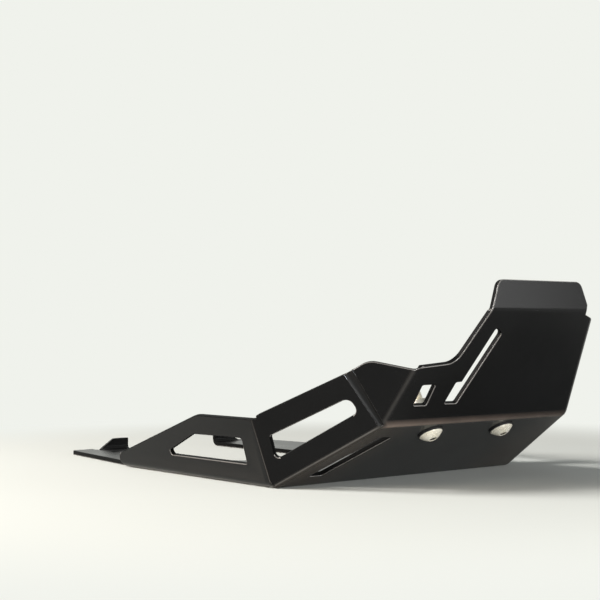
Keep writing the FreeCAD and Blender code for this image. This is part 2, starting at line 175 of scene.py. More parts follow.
@dataclass(frozen=True)
class PaintedFloorBounce:
    """Painted bounce light: faces that look down are lighter, and browner towards the two sides."""

    colour: str
    side_colour: str
    facing_start: float = -0.6
    facing_full: float = -0.85
    side_start: float = 60.0 * MM
    side_full: float = 95.0 * MM

    def over(self, tree: bpy.types.NodeTree, coat: bpy.types.NodeSocket) -> bpy.types.NodeSocket:
        """Paint the bounce light over a coat.

        Args:
            tree: the material's node tree.
            coat: the coat's colour.

        Returns:
            The colour with the film.
        """
        normal = add(tree, "ShaderNodeNewGeometry").outputs["Normal"]
        facing = add(tree, "ShaderNodeSeparateXYZ", {0: normal})
        share = add(
            tree,
            "ShaderNodeMapRange",
            {"Value": facing.outputs["Z"], "From Min": self.facing_start, "From Max": self.facing_full},
        )
        place = add(tree, "ShaderNodeTexCoord").outputs["Object"]
        axes = add(tree, "ShaderNodeSeparateXYZ", {0: place})
        aside = add(tree, "ShaderNodeMath", {0: axes.outputs["Y"]}, operation="ABSOLUTE")
        side = add(
            tree,
            "ShaderNodeMapRange",
            {"Value": aside.outputs[0], "From Min": self.side_start, "From Max": self.side_full},
        )
        bounce_colour = add(
            tree,
            "ShaderNodeMix",
            {"Factor": side.outputs[0], 6: linear(self.colour), 7: linear(self.side_colour)},
            data_type="RGBA",
        )
        with_bounce = add(
            tree,
            "ShaderNodeMix",
            {"Factor": share.outputs[0], 6: coat, 7: bounce_colour.outputs[2]},
            data_type="RGBA",
        )
        return with_bounce.outputs[2]


@dataclass(frozen=True)
class PaintedFoldHighlights:
    """Painted highlights: a lighter line along each fold, where the bends catch the light.

    The line is broad on the side folds, thin on the corner folds and soft on the folds of the front. A
    higher power makes it thinner, and blend is the share of a limit's distance at which the change starts.
    """

    colour: str
    side_colour: str
    side_to: float = 104.0 * MM
    front_from: float = 194.0 * MM
    blend: float = 0.97
    side_power: float = 0.9
    corner_power: float = 9.0
    front_power: float = 2.2
    front_share: float = 0.28

    def over(self, tree: bpy.types.NodeTree, coat: bpy.types.NodeSocket) -> bpy.types.NodeSocket:
        """Paint the highlights along the folds onto a coat.

        Args:
            tree: the material's node tree.
            coat: the coat's colour.

        Returns:
            The colour with the painted highlights of the folds.
        """
        place = add(tree, "ShaderNodeTexCoord").outputs["Object"]
        forward = add(tree, "ShaderNodeSeparateXYZ", {0: place}).outputs["X"]
        to_front = {"Value": forward, "From Min": self.blend * self.front_from, "From Max": self.front_from}
        ahead_power = add(
            tree,
            "ShaderNodeMapRange",
            {**to_front, "To Min": self.corner_power, "To Max": self.front_power},
        )
        strength = add(
            tree,
            "ShaderNodeMapRange",
            {**to_front, "To Min": 1.0, "To Max": self.front_share},
        )
        ahead = add(
            tree,
            "ShaderNodeMapRange",
            {"Value": forward, "From Min": self.blend * self.side_to, "From Max": self.side_to},
        )
        power = add(
            tree,
            "ShaderNodeMapRange",
            {"Value": ahead.outputs[0], "To Min": self.side_power, "To Max": ahead_power.outputs[0]},
        )
        line_colour = add(
            tree,
            "ShaderNodeMix",
            {"Factor": ahead.outputs[0], 6: linear(self.side_colour), 7: linear(self.colour)},
            data_type="RGBA",
        )
        fold = add(tree, "ShaderNodeAttribute", attribute_name=FOLD_NAME)
        narrow = add(
            tree,
            "ShaderNodeMath",
            {0: fold.outputs["Fac"], 1: power.outputs[0]},
            operation="POWER",
        )
        line = add(
            tree,
            "ShaderNodeMath",
            {0: narrow.outputs[0], 1: strength.outputs[0]},
            operation="MULTIPLY",
        )
        painted_highlight = add(
            tree,
            "ShaderNodeMix",
            {"Factor": line.outputs[0], 6: coat, 7: line_colour.outputs[2]},
            data_type="RGBA",
        )
        return painted_highlight.outputs[2]


@dataclass(frozen=True)
class PaintedNoseReflection:
    """Painted reflection: a warm brown band along the nose fold, most of all at its right.

    Top, peak and foot are heights up the front panel from the fold, where the band ends, is strongest and
    ends again. A full share is the part of the reach or the half width up to which the band is whole.
    """

    colour: str
    fold: Vector = field(default_factory=NOSE_FOLD.copy)
    up_front: Vector = field(default_factory=lambda: Vector((0.69, 0.0, 0.724)))
    reach: float = 9.0 * MM
    reach_full: float = 0.7
    half_width: float = 98.5 * MM
    width_full: float = 0.94
    top: float = 5.2 * MM
    peak: float = -1.2 * MM
    foot: float = -3.0 * MM
    left_share: float = 0.5
    streak_mm: float = 35.0
    streak_high: float = 0.6
    least_strength: float = 0.7

    def over(self, tree: bpy.types.NodeTree, coat: bpy.types.NodeSocket) -> bpy.types.NodeSocket:
        """Paint the warm reflection along the nose fold onto a coat.

        Args:
            tree: the material's node tree.
            coat: the coat's colour.

        Returns:
            The colour with the rubbed band.
        """
        place = add(tree, "ShaderNodeTexCoord").outputs["Object"]
        sideways = add(tree, "ShaderNodeSeparateXYZ", {0: place}).outputs["Y"]
        level = add(tree, "ShaderNodeVectorMath", {0: place, 1: (1.0, 0.0, 1.0)}, operation="MULTIPLY")
        offset = add(
            tree,
            "ShaderNodeVectorMath",
            {0: level.outputs[0], 1: self.fold},
            operation="SUBTRACT",
        )
        away = add(tree, "ShaderNodeVectorMath", {0: offset.outputs[0]}, operation="LENGTH")
        aside = add(tree, "ShaderNodeMath", {0: sideways}, operation="ABSOLUTE")
        limits = []
        for distance, full, end in (
            (away.outputs["Value"], self.reach_full, self.reach),
            (aside.outputs[0], self.width_full, self.half_width),
        ):
            fall = {"Value": distance, "From Min": full * end, "From Max": end, "To Min": 1.0, "To Max": 0.0}
            limits.append(add(tree, "ShaderNodeMapRange", fall))
        # The band fades upwards into the front panel and ends short on the nose panel.
        height = add(
            tree,
            "ShaderNodeVectorMath",
            {0: offset.outputs[0], 1: self.up_front},
            operation="DOT_PRODUCT",
        )
        for end in (self.top, self.foot):
            rise = {"Value": height.outputs["Value"], "From Min": end, "From Max": self.peak}
            limits.append(add(tree, "ShaderNodeMapRange", rise))
        # The painted reflection is uneven, in streaks a few centimetres long.
        streaks = add(
            tree,
            "ShaderNodeTexNoise",
            {"Vector": place, "Scale": per_metre(self.streak_mm), "Detail": 4.0, "Roughness": 0.6},
        )
        uneven = add(
            tree,
            "ShaderNodeMapRange",
            {
                "Value": streaks.outputs["Fac"],
                "From Min": NOISE_LOW,
                "From Max": self.streak_high,
                "To Min": self.least_strength,
            },
        )
        along = add(
            tree,
            "ShaderNodeMapRange",
            {
                "Value": sideways,
                "From Min": -self.half_width,
                "From Max": self.half_width,
                "To Min": 1.0,
                "To Max": self.left_share,
            },
        )
        share = limits[0].outputs[0]
        steps = [(limit, "MINIMUM") for limit in limits[1:]]
        steps += [(part, "MULTIPLY") for part in (uneven, along)]
        for step, how in steps:
            joined = add(tree, "ShaderNodeMath", {0: share, 1: step.outputs[0]}, operation=how)
            share = joined.outputs[0]
        with_nose_reflection = add(
            tree,
            "ShaderNodeMix",
            {"Factor": share, 6: coat, 7: linear(self.colour)},
            data_type="RGBA",
        )
        return with_nose_reflection.outputs[2]


@dataclass(frozen=True)
class PowderCoat:
    """Black polyester powder coat, sprayed dry on aluminium sheet and baked.

    It flows out to a satin skin with a faint orange peel. Lighter and darker copies of it carry painted
    highlights and painted shade.
    """

    name: str
    colour: str
    pale_colour: str
    roughness: float
    specular: float
    peel_strength: float = 0.05
    marks: tuple[PaintedFloorBounce | PaintedFoldHighlights | PaintedNoseReflection, ...] = ()
    peel_mm: float = 1.6
    peel_depth: float = 0.2 * MM
    cloud_mm: float = 60.0
    grain_mm: float = 0.4
    tint_low: float = 0.15
    tint_high: float = 0.4
    gloss_swing: float = 0.03
    ior: float = 1.5

    def build(self) -> bpy.types.Material:
        """Build the coat's material.

        Returns:
            The material.
        """
        material, tree = new_tree(self.name)
        place = add(tree, "ShaderNodeTexCoord").outputs["Object"]
        # Broad soft clouds, where the coat baked a little thicker or thinner.
        cloud = add(
            tree,
            "ShaderNodeTexNoise",
            {"Vector": place, "Scale": per_metre(self.cloud_mm), "Detail": 3.0, "Roughness": 0.5},
        )
        # Fine grain of the powder, which shows close up.
        grain = add(
            tree,
            "ShaderNodeTexNoise",
            {"Vector": place, "Scale": per_metre(self.grain_mm), "Detail": 2.0, "Roughness": 0.6},
        )
        blend = add(
            tree,
            "ShaderNodeMath",
            {0: cloud.outputs["Fac"], 1: grain.outputs["Fac"]},
            operation="MULTIPLY",
        )
        tint = add(
            tree,
            "ShaderNodeMapRange",
            {"Value": blend.outputs[0], "From Min": self.tint_low, "From Max": self.tint_high},
        )
        colour = add(
            tree,
            "ShaderNodeMix",
            {"Factor": tint.outputs[0], 6: linear(self.colour), 7: linear(self.pale_colour)},
            data_type="RGBA",
        ).outputs[2]
        for mark in self.marks:
            colour = mark.over(tree, colour)
        gloss = add(
            tree,
            "ShaderNodeMapRange",
            {
                "Value": cloud.outputs["Fac"],
                "From Min": NOISE_LOW,
                "From Max": NOISE_HIGH,
                "To Min": self.roughness - self.gloss_swing,
                "To Max": self.roughness + self.gloss_swing,
            },
        )
        # Orange peel of a baked coat, sized from crest to crest.
        peel = add(
            tree,
            "ShaderNodeTexNoise",
            {"Vector": place, "Scale": per_metre(self.peel_mm), "Detail": 2.0, "Roughness": 0.45},
        )
        bump = add(
            tree,
            "ShaderNodeBump",
            {"Height": peel.outputs["Fac"], "Strength": self.peel_strength, "Distance": self.peel_depth},
        )
        shader = add(
            tree,
            "ShaderNodeBsdfPrincipled",
            {
                "Base Color": colour,
                "Roughness": gloss.outputs[0],
                "IOR": self.ior,
                "Specular IOR Level": self.specular,
                "Normal": bump.outputs[0],
            },
        )
        add(tree, "ShaderNodeOutputMaterial", {"Surface": shader.outputs[0]})
        return material


@dataclass(frozen=True)
class ZincSteel:
    """Bright zinc plating on steel: pale metal with a slight cream cast and a fine crystal grain."""

    name: str
    colour: str
    dull_colour: str
    roughness: float
    metallic: float = 1.0
    grain_mm: float = 0.5
    grain_strength: float = 0.08
    grain_depth: float = 0.05 * MM
    stain_mm: float = 5.0
    stain_low: float = 0.35
    gloss_swing: float = 0.06

    def build(self) -> bpy.types.Material:
        """Build the plating's material.

        Returns:
            The material.
        """
        material, tree = new_tree(self.name)
        place = add(tree, "ShaderNodeTexCoord").outputs["Object"]
        # Fine zinc crystals, which break the shine into small patches.
        grain = add(
            tree,
            "ShaderNodeTexNoise",
            {"Vector": place, "Scale": per_metre(self.grain_mm), "Detail": 3.0, "Roughness": 0.6},
        )
        # Passivation stain, in patches of a few millimetres.
        stain = add(
            tree,
            "ShaderNodeTexNoise",
            {"Vector": place, "Scale": per_metre(self.stain_mm), "Detail": 2.0, "Roughness": 0.5},
        )
        share = add(
            tree,
            "ShaderNodeMapRange",
            {"Value": stain.outputs["Fac"], "From Min": self.stain_low, "From Max": NOISE_HIGH},
        )
        colour = add(
            tree,
            "ShaderNodeMix",
            {"Factor": share.outputs[0], 6: linear(self.colour), 7: linear(self.dull_colour)},
            data_type="RGBA",
        )
        gloss = add(
            tree,
            "ShaderNodeMapRange",
            {
                "Value": grain.outputs["Fac"],
                "From Min": NOISE_LOW,
                "From Max": NOISE_HIGH,
                "To Min": self.roughness - self.gloss_swing,
                "To Max": self.roughness + self.gloss_swing,
            },
        )
        bump = add(
            tree,
            "ShaderNodeBump",
            {"Height": grain.outputs["Fac"], "Strength": self.grain_strength, "Distance": self.grain_depth},
        )
        shader = add(
            tree,
            "ShaderNodeBsdfPrincipled",
            {
                "Base Color": colour.outputs[2],
                "Metallic": self.metallic,
                "Roughness": gloss.outputs[0],
                "Normal": bump.outputs[0],
            },
        )
        add(tree, "ShaderNodeOutputMaterial", {"Surface": shader.outputs[0]})
        return material


@dataclass(frozen=True)
class BlackPolymer:
    """Black moulded polymer, nylon or rubber: matte, with the fine spark-eroded grain of its mould."""

    name: str
    colour: str
    pale_colour: str
    roughness: float
    grain_mm: float
    specular: float
    grain_strength: float = 0.15
    grain_depth: float = 0.05 * MM

    def build(self) -> bpy.types.Material:
        """Build the polymer's material.

        Returns:
            The material.
        """
        material, tree = new_tree(self.name)
        place = add(tree, "ShaderNodeTexCoord").outputs["Object"]
        grain = add(
            tree,
            "ShaderNodeTexNoise",
            {"Vector": place, "Scale": per_metre(self.grain_mm), "Detail": 3.0, "Roughness": 0.6},
        )
        colour = add(
            tree,
            "ShaderNodeMix",
            {"Factor": grain.outputs["Fac"], 6: linear(self.colour), 7: linear(self.pale_colour)},
            data_type="RGBA",
        )
        bump = add(
            tree,
            "ShaderNodeBump",
            {"Height": grain.outputs["Fac"], "Strength": self.grain_strength, "Distance": self.grain_depth},
        )
        shader = add(
            tree,
            "ShaderNodeBsdfPrincipled",
            {
                "Base Color": colour.outputs[2],
                "Roughness": self.roughness,
                "Specular IOR Level": self.specular,
                "Normal": bump.outputs[0],
            },
        )
        add(tree, "ShaderNodeOutputMaterial", {"Surface": shader.outputs[0]})
        return material


@dataclass(frozen=True)
class PaleBoard:
    """Pale matte painted board, for the floor under the part.

    Near the part it takes light and shadow as paint does, and further out it fades into the pale backdrop.
    """

    name: str
    colour: str
    far_colour: str
    roughness: float = 0.9
    specular: float = 0.0
    fade_start: float = 0.34
    fade_end: float = 0.64

    def build(self) -> bpy.types.Material:
        """Build the board's material.

        Returns:
            The material.
        """
        material, tree = new_tree(self.name)
        paint = add(
            tree,
            "ShaderNodeBsdfPrincipled",
            {
                "Base Color": linear(self.colour),
                "Roughness": self.roughness,
                "Specular IOR Level": self.specular,
            },
        )
        backdrop = add(tree, "ShaderNodeEmission", {"Color": linear(self.far_colour), "Strength": 1.0})
        place = add(tree, "ShaderNodeNewGeometry").outputs["Position"]
        distance = add(tree, "ShaderNodeVectorMath", {0: place}, operation="LENGTH")
        fade = add(
            tree,
            "ShaderNodeMapRange",
            {"Value": distance.outputs["Value"], "From Min": self.fade_start, "From Max": self.fade_end},
            interpolation_type="SMOOTHSTEP",
        )
        share = add(
            tree,
            "ShaderNodeMath",
            {0: fade.outputs[0], 1: seen_ray(tree)},
            operation="MULTIPLY",
        )
        mix = add(
            tree,
            "ShaderNodeMixShader",
            {0: share.outputs[0], 1: paint.outputs[0], 2: backdrop.outputs[0]},
        )
        add(tree, "ShaderNodeOutputMaterial", {"Surface": mix.outputs[0]})
        return material


# The plate's coat and its copies for painted highlights and shade. The dark satin panels come first.
COAT = PowderCoat(
    "powder_coated_aluminium",
    "#080809",
    "#0d0d0e",
    roughness=0.24,
    specular=0.14,
    peel_strength=0.08,
    marks=(
        # Painted bounce light on faces that look down, painted fold highlights and a painted nose
        # reflection.
        PaintedFloorBounce("#1f1f1f", "#2d2824"),
        PaintedFoldHighlights("#5c5956", "#b9b3ac"),
        PaintedNoseReflection("#6d6058"),
    ),
)
COAT_INSIDE = PowderCoat("powder_coat_inside", "#080809", "#0d0d0e", 0.28, 0.12)
# Painted highlights: lighter, smoother copies of the coat on the cut edges and on the seams' shoulders,
# and painted glints on the seams' tips.
COAT_EDGE_HIGHLIGHT = PowderCoat("powder_coat_painted_edge_highlight", "#524f4d", "#66625f", 0.22, 0.9, 0.0)
COAT_SHOULDER_HIGHLIGHT = PowderCoat("powder_coat_stretched_on_seam", "#1b1b1a", "#232221", 0.3, 0.5, 0.0)
COAT_TIP_GLINT = PowderCoat("powder_coat_polished_on_seam_tips", "#a3afc0", "#c3cddb", 0.2, 1.0, 0.0)
# Painted shade: darker, duller copies in the seam grooves, on the cut walls and on the dark cut edges.
COAT_SEAM_SHADE = PowderCoat("powder_coat_painted_shade_in_seam", "#060607", "#0a0a0b", 0.5, 0.2)
COAT_WALL_SHADE = PowderCoat("powder_coat_on_cut_walls", "#030303", "#060606", 0.5, 0.05)
# The fixings: bright screw heads, their shaded sockets, and the duller and blacker pieces behind them.
ZINC = ZincSteel("bright_zinc_plated_steel", "#fdf8ea", "#f0e9d6", 0.26, 0.5)
SOCKET = ZincSteel("zinc_plated_socket_in_shade", "#4a463e", "#35322c", 0.5)
SLEEVE_ZINC = ZincSteel("dull_zinc_plated_steel", "#b9b6ae", "#9a968c", 0.42)
NYLON = BlackPolymer("black_moulded_nylon", "#0b0b0c", "#121213", 0.55, 0.5, 0.4)
RUBBER = BlackPolymer("black_moulded_rubber", "#0e0e0e", "#181817", 0.75, 0.8, 0.3)
BOARD = PaleBoard("pale_painted_board", "#e4e8e4", "#f0f2ec")


class Coat(Enum):
    """The plate's material slots, by where they lie and the painted highlight or shade that each carries."""

    PANEL = 0
    EDGE = 1
    SHOULDER = 2
    SEAM_SHADE = 3
    CUT_WALL = 4
    TIP = 5
    INSIDE = 6


SLOTS = {
    Coat.PANEL: COAT,
    Coat.EDGE: COAT_EDGE_HIGHLIGHT,
    Coat.SHOULDER: COAT_SHOULDER_HIGHLIGHT,
    Coat.SEAM_SHADE: COAT_SEAM_SHADE,
    Coat.CUT_WALL: COAT_WALL_SHADE,
    Coat.TIP: COAT_TIP_GLINT,
    Coat.INSIDE: COAT_INSIDE,
}


@dataclass
class FoldedPlate:
    """The folded sheet, with its cut edges rounded as the coat rounds them.

    Each facing is a limit on one axis of a face's normal. The seam is the right one of the two, and points
    on the left are mirrored to it.
    """

    node: str = "guard_plate"
    name: str = "guard_plate_sheet"
    # The rounding of the cut edges and of the seams' shoulders.
    edge_round: float = 0.55 * MM
    edge_steps: int = 2
    shoulder_round: float = 1.5 * MM
    shoulder_steps: int = 4
    sharp_degrees: float = 33.0
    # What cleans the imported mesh, and how far a rounded point may lie below or above the solid.
    weld: float = 0.002 * MM
    flat_degrees: float = 0.6
    most_sunk: float = 0.6 * MM
    most_proud: float = 0.005 * MM
    # What tells the two skins from the walls, and a panel from the strips of a bend.
    engine_middle: Vector = field(default_factory=lambda: Vector((0.0, 0.0, 120.0)) * MM)
    skin_area: float = 20000.0 * MM * MM
    panel_area: float = 600.0 * MM * MM
    same_degrees: float = 0.4
    # What tells a fold that gets a painted highlight from the other bends.
    nearest_panels: int = 6
    least_fold_degrees: float = 11.0
    misfit_digits: int = 2
    lip_facing: float = 0.99
    belly_facing: float = 0.99
    rear_facing: float = -0.02
    least_peak: float = 0.5
    peak_rank: float = 0.8
    # The welded seams, and where the painted glints at their tips start.
    seam_foot: Vector = field(default_factory=lambda: Vector((195.494, -99.8, 48.908)) * MM)
    seam_along: Vector = field(default_factory=lambda: Vector((-0.305296, -0.426130, 0.851591)))
    seam_reach: float = 7.0 * MM
    tip_from: float = 41.0 * MM
    # The cut edges kept dark as painted shade: those that look down, and the upper ones of the side panels.
    shaded: float = -0.6
    side_from: float = 120.0 * MM
    top_from: float = 30.0 * MM
    facing_up: float = -0.35
    # How much the large faces count in the shading.
    flat_weight: int = 90

    def sharp(self, edge: bmesh.types.BMEdge) -> bool:
        """Tell whether an edge is a corner of the cut sheet, and not a step of a bend."""
        return edge.calc_face_angle(0.0) > math.radians(self.sharp_degrees)

    def up_seam(self, point: Vector) -> float:
        """Give how far up the nearer of the two welded seams a point lies."""
        return (Vector((point.x, -abs(point.y), point.z)) - self.seam_foot).dot(self.seam_along)

    def from_seam(self, point: Vector) -> Vector:
        """Give how a point lies across from the nearer of the two welded seams."""
        offset = Vector((point.x, -abs(point.y), point.z)) - self.seam_foot
        return offset - self.seam_along * self.up_seam(point)

    def beside_seam(self, point: Vector) -> bool:
        """Tell whether a point lies at one of the two welded seams."""
        return self.from_seam(point).length < self.seam_reach

    def faces_out(self, group: list[bmesh.types.BMFace]) -> bool:
        """Tell whether a skin looks away from the middle of the engine, and not towards it."""
        views = [(f.calc_center_median() - self.engine_middle).dot(f.normal) * f.calc_area() for f in group]
        return sum(views) > 0.0

    def surfaces(self, form: bmesh.types.BMesh) -> list[list[bmesh.types.BMFace]]:
        """Part the mesh into its smooth surfaces: two skins, the cut walls and the seam grooves.

        Args:
            form: the plate's mesh.

        Returns:
            Lists of faces that join through smooth edges.
        """
        left = set(form.faces)
        groups = []
        while left:
            start = left.pop()
            group, front = [start], [start]
            while front:
                for edge in front.pop().edges:
                    if self.sharp(edge):
                        continue
                    for face in edge.link_faces:
                        if face in left:
                            left.remove(face)
                            group.append(face)
                            front.append(face)
            groups.append(group)
        return groups

    def sort_faces(self, form: bmesh.types.BMesh) -> list[Vector]:
        """Mark the two skins, the cut walls and the seam grooves by material slot.

        Args:
            form: the plate's mesh.

        Returns:
            The normals of the outer skin's flat panels.
        """
        panels = []
        for group in self.surfaces(form):
            kind = Coat.CUT_WALL
            if sum(face.calc_area() for face in group) > self.skin_area:
                kind = Coat.PANEL if self.faces_out(group) else Coat.INSIDE
                if kind == Coat.PANEL:
                    panels = [face.normal.copy() for face in group if face.calc_area() > self.panel_area]
            elif all(self.beside_seam(vert.co) for face in group for vert in face.verts):
                kind = Coat.SEAM_SHADE
            for face in group:
                face.material_index = kind.value
        # At the foot of a side wing a wall runs smoothly into the outer skin. It still meets the inner one.
        across = {Coat.PANEL.value, Coat.INSIDE.value}
        for edge in form.edges:
            if {face.material_index for face in edge.link_faces} == across:
                for face in edge.link_faces:
                    if face.material_index == Coat.PANEL.value:
                        face.material_index = Coat.CUT_WALL.value
        return panels

    def skin(self, form: bmesh.types.BMesh, kind: Coat) -> BVHTree:
        """Give the surface of one skin, for distances.

        Args:
            form: the plate's mesh, with its faces sorted.
            kind: the skin's slot.

        Returns:
            The skin's search tree.
        """
        faces = [[v.co.copy() for v in f.verts] for f in form.faces if f.material_index == kind.value]
        points = [point for face in faces for point in face]
        starts = [sum(len(face) for face in faces[:number]) for number in range(len(faces))]
        corners = [list(range(start, start + len(face))) for start, face in zip(starts, faces)]
        return BVHTree.FromPolygons(points, corners)

    def round_edges(self, form: bmesh.types.BMesh) -> None:
        """Round the shoulders of the seams softly and the cut edges finely.

        Args:
            form: the plate's mesh, with its faces sorted.
        """
        seam = {Coat.PANEL.value, Coat.SEAM_SHADE.value}
        soft = [edge for edge in form.edges if {face.material_index for face in edge.link_faces} == seam]
        # The rounded shoulders and cut edges take the coats with painted highlights.
        bmesh.ops.bevel(
            form,
            geom=soft,
            offset=self.shoulder_round,
            offset_type="OFFSET",
            segments=self.shoulder_steps,
            profile=0.5,
            affect="EDGES",
            clamp_overlap=True,
            material=Coat.SHOULDER.value,
        )
        form.normal_update()
        bmesh.ops.bevel(
            form,
            geom=[edge for edge in form.edges if self.sharp(edge)],
            offset=self.edge_round,
            offset_type="OFFSET",
            segments=self.edge_steps,
            profile=0.5,
            affect="EDGES",
            clamp_overlap=False,
            material=Coat.EDGE.value,
        )
        form.normal_update()

    def settle(self, form: bmesh.types.BMesh, solid: BVHTree) -> None:
        """Bring points that the rounding threw off back to the surface of the solid.

        Args:
            form: the plate's mesh, with its edges rounded.
            solid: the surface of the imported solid.
        """
        for vert in form.verts:
            point, normal, _, away = solid.find_nearest(vert.co)
            if away > self.most_sunk or (vert.co - point).dot(normal) > self.most_proud:
                vert.co = point
            vert.co.z = max(vert.co.z, 0.0)
        form.normal_update()

    def cut_tips(self, form: bmesh.types.BMesh) -> None:
        """Cut the shoulders of the seams across, below the painted glints at their tips.

        Args:
            form: the plate's mesh, with its edges rounded.
        """
        for side in Side:
            turn = Vector((1.0, -side.value, 1.0))
            strips = [
                face
                for face in form.faces
                if face.material_index == Coat.SHOULDER.value
                and face.calc_center_median().y * side.value > 0.0
            ]
            edges = {edge for face in strips for edge in face.edges}
            verts = {vert for face in strips for vert in face.verts}
            bmesh.ops.bisect_plane(
                form,
                geom=[*strips, *edges, *verts],
                plane_co=(self.seam_foot + self.seam_along * self.tip_from) * turn,
                plane_no=self.seam_along * turn,
            )
        form.normal_update()

    def mark_edges(self, form: bmesh.types.BMesh, outer: BVHTree, inner: BVHTree) -> None:
        """Mark the dark cut edges of painted shade, and the painted highlight and glints of each seam.

        Args:
            form: the plate's mesh, with its edges rounded.
            outer: the outer skin, from before the rounding.
            inner: the inner skin, from before the rounding.
        """
        marks = {}
        for face in form.faces:
            centre = face.calc_center_median()
            across = self.from_seam(centre)
            # Painted glints on the shoulders' tips, and the edges' painted highlight on the front shoulder.
            if face.material_index == Coat.SHOULDER.value and self.up_seam(centre) > self.tip_from:
                marks[face] = Coat.TIP
            elif face.material_index == Coat.SHOULDER.value and across.x > 0.0:
                beside = {other.material_index for edge in face.edges for other in edge.link_faces}
                if Coat.PANEL.value in beside:
                    marks[face] = Coat.EDGE
            # Painted shade: inner cut edges, upper side edges and those that look down take the dark wall
            # coat.
            elif face.material_index == Coat.EDGE.value:
                inside = inner.find_nearest(centre)[3] < outer.find_nearest(centre)[3]
                on_side = abs(centre.y) > self.side_from and centre.z > self.top_from
                upper = on_side and face.normal.z > self.facing_up
                if inside or upper or face.normal.z < self.shaded:
                    marks[face] = Coat.CUT_WALL
        for face, kind in marks.items():
            face.material_index = kind.value

    def fold_share(self, normal: Vector, panels: list[Vector]) -> tuple[float, tuple[int, int]]:
        """Give how far round a bend a surface has turned, from 0 on a panel to 1 in the middle.

        Args:
            normal: the surface's own normal.
            panels: the normals of the flat panels.

        Returns:
            The share, from 0 to 1, and the two panels that the bend joins.
        """
        turns = sorted((normal.angle(panel), index) for index, panel in enumerate(panels))
        turns = turns[: self.nearest_panels]
        best = (math.pi, math.pi, 0.0, (0, 0))
        for place, (first, one) in enumerate(turns):
            for second, other in turns[place + 1 :]:
                whole = panels[one].angle(panels[other])
                if whole > math.radians(self.least_fold_degrees):
                    lip = max(abs(panels[one].x), abs(panels[other].x)) > self.lip_facing
                    belly = min(panels[one].z, panels[other].z) < -self.belly_facing
                    share = 0.0 if lip or belly else 2.0 * first / whole
                    pair = (min(one, other), max(one, other))
                    # The two turns add up to the whole bend where the surface lies between its panels.
                    misfit = round(first + second - whole, self.misfit_digits)
                    best = min(best, (misfit, whole, share, pair))
        return min(best[2], 1.0), best[3]

    def mark_folds(self, form: bmesh.types.BMesh, panels: list[Vector]) -> None:
        """Write how far each point lies round a bend, for the painted fold highlights to follow.

        Args:
            form: the plate's mesh, with its edges rounded.
            panels: the normals of the flat panels.
        """
        distinct: list[Vector] = []
        for panel in panels:
            if all(panel.angle(known) > math.radians(self.same_degrees) for known in distinct):
                distinct.append(panel)
        layer = form.verts.layers.float.new(FOLD_NAME)
        shares = {}
        for vert in form.verts:
            skin = [face for face in vert.link_faces if face.material_index == Coat.PANEL.value]
            normal = sum((face.normal * face.calc_area() for face in skin), Vector()).normalized()
            # No fold looks to the rear: what does is the cut foot of a side wing.
            if skin and normal.x > self.rear_facing:
                shares[vert] = self.fold_share(normal, distinct)
        # A bend of few strips has no point in its middle, so its highest row of points counts as that.
        rows: dict[tuple[int, int], list[float]] = {}
        for share, pair in shares.values():
            rows.setdefault(pair, []).append(share)
        peaks = {}
        for pair, row in rows.items():
            high = sorted(share for share in row if share > self.least_peak)
            peaks[pair] = high[int(self.peak_rank * len(high))] if high else 1.0
        for vert, (share, pair) in shares.items():
            vert[layer] = min(share / peaks[pair], 1.0)

    def build(self, frame: dict[str, Any]) -> bpy.types.Object:
        """Build the plate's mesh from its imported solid.


        Returns:
            The plate's object.
        """
        mesh = frame["nodes"][self.node].data.copy()
        mesh.name = self.name
        mesh.materials.clear()
        form = bmesh.new()
        form.from_mesh(mesh)
        bmesh.ops.remove_doubles(form, verts=form.verts, dist=self.weld)
        bmesh.ops.dissolve_limit(
            form,
            angle_limit=math.radians(self.flat_degrees),
            verts=form.verts,
            edges=form.edges,
        )
        form.normal_update()
        solid = BVHTree.FromBMesh(form)
        panels = self.sort_faces(form)
        outer, inner = self.skin(form, Coat.PANEL), self.skin(form, Coat.INSIDE)
        self.round_edges(form)
        self.settle(form, solid)
        self.cut_tips(form)
        self.mark_edges(form, outer, inner)
        self.mark_folds(form, panels)
        for face in form.faces:
            face.smooth = True
        form.to_mesh(mesh)
        form.free()
        for kind in Coat:
            mesh.materials.append(SLOTS[kind].build())
        plate = bpy.data.objects.new(self.name, mesh)
        bpy.context.scene.collection.objects.link(plate)
        weighted = plate.modifiers.new("flat_panels", "WEIGHTED_NORMAL")
        weighted.mode = "FACE_AREA"
        weighted.weight = self.flat_weight
        weighted.keep_sharp = False
        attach(plate, "root")
        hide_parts(self.node)
        return plate


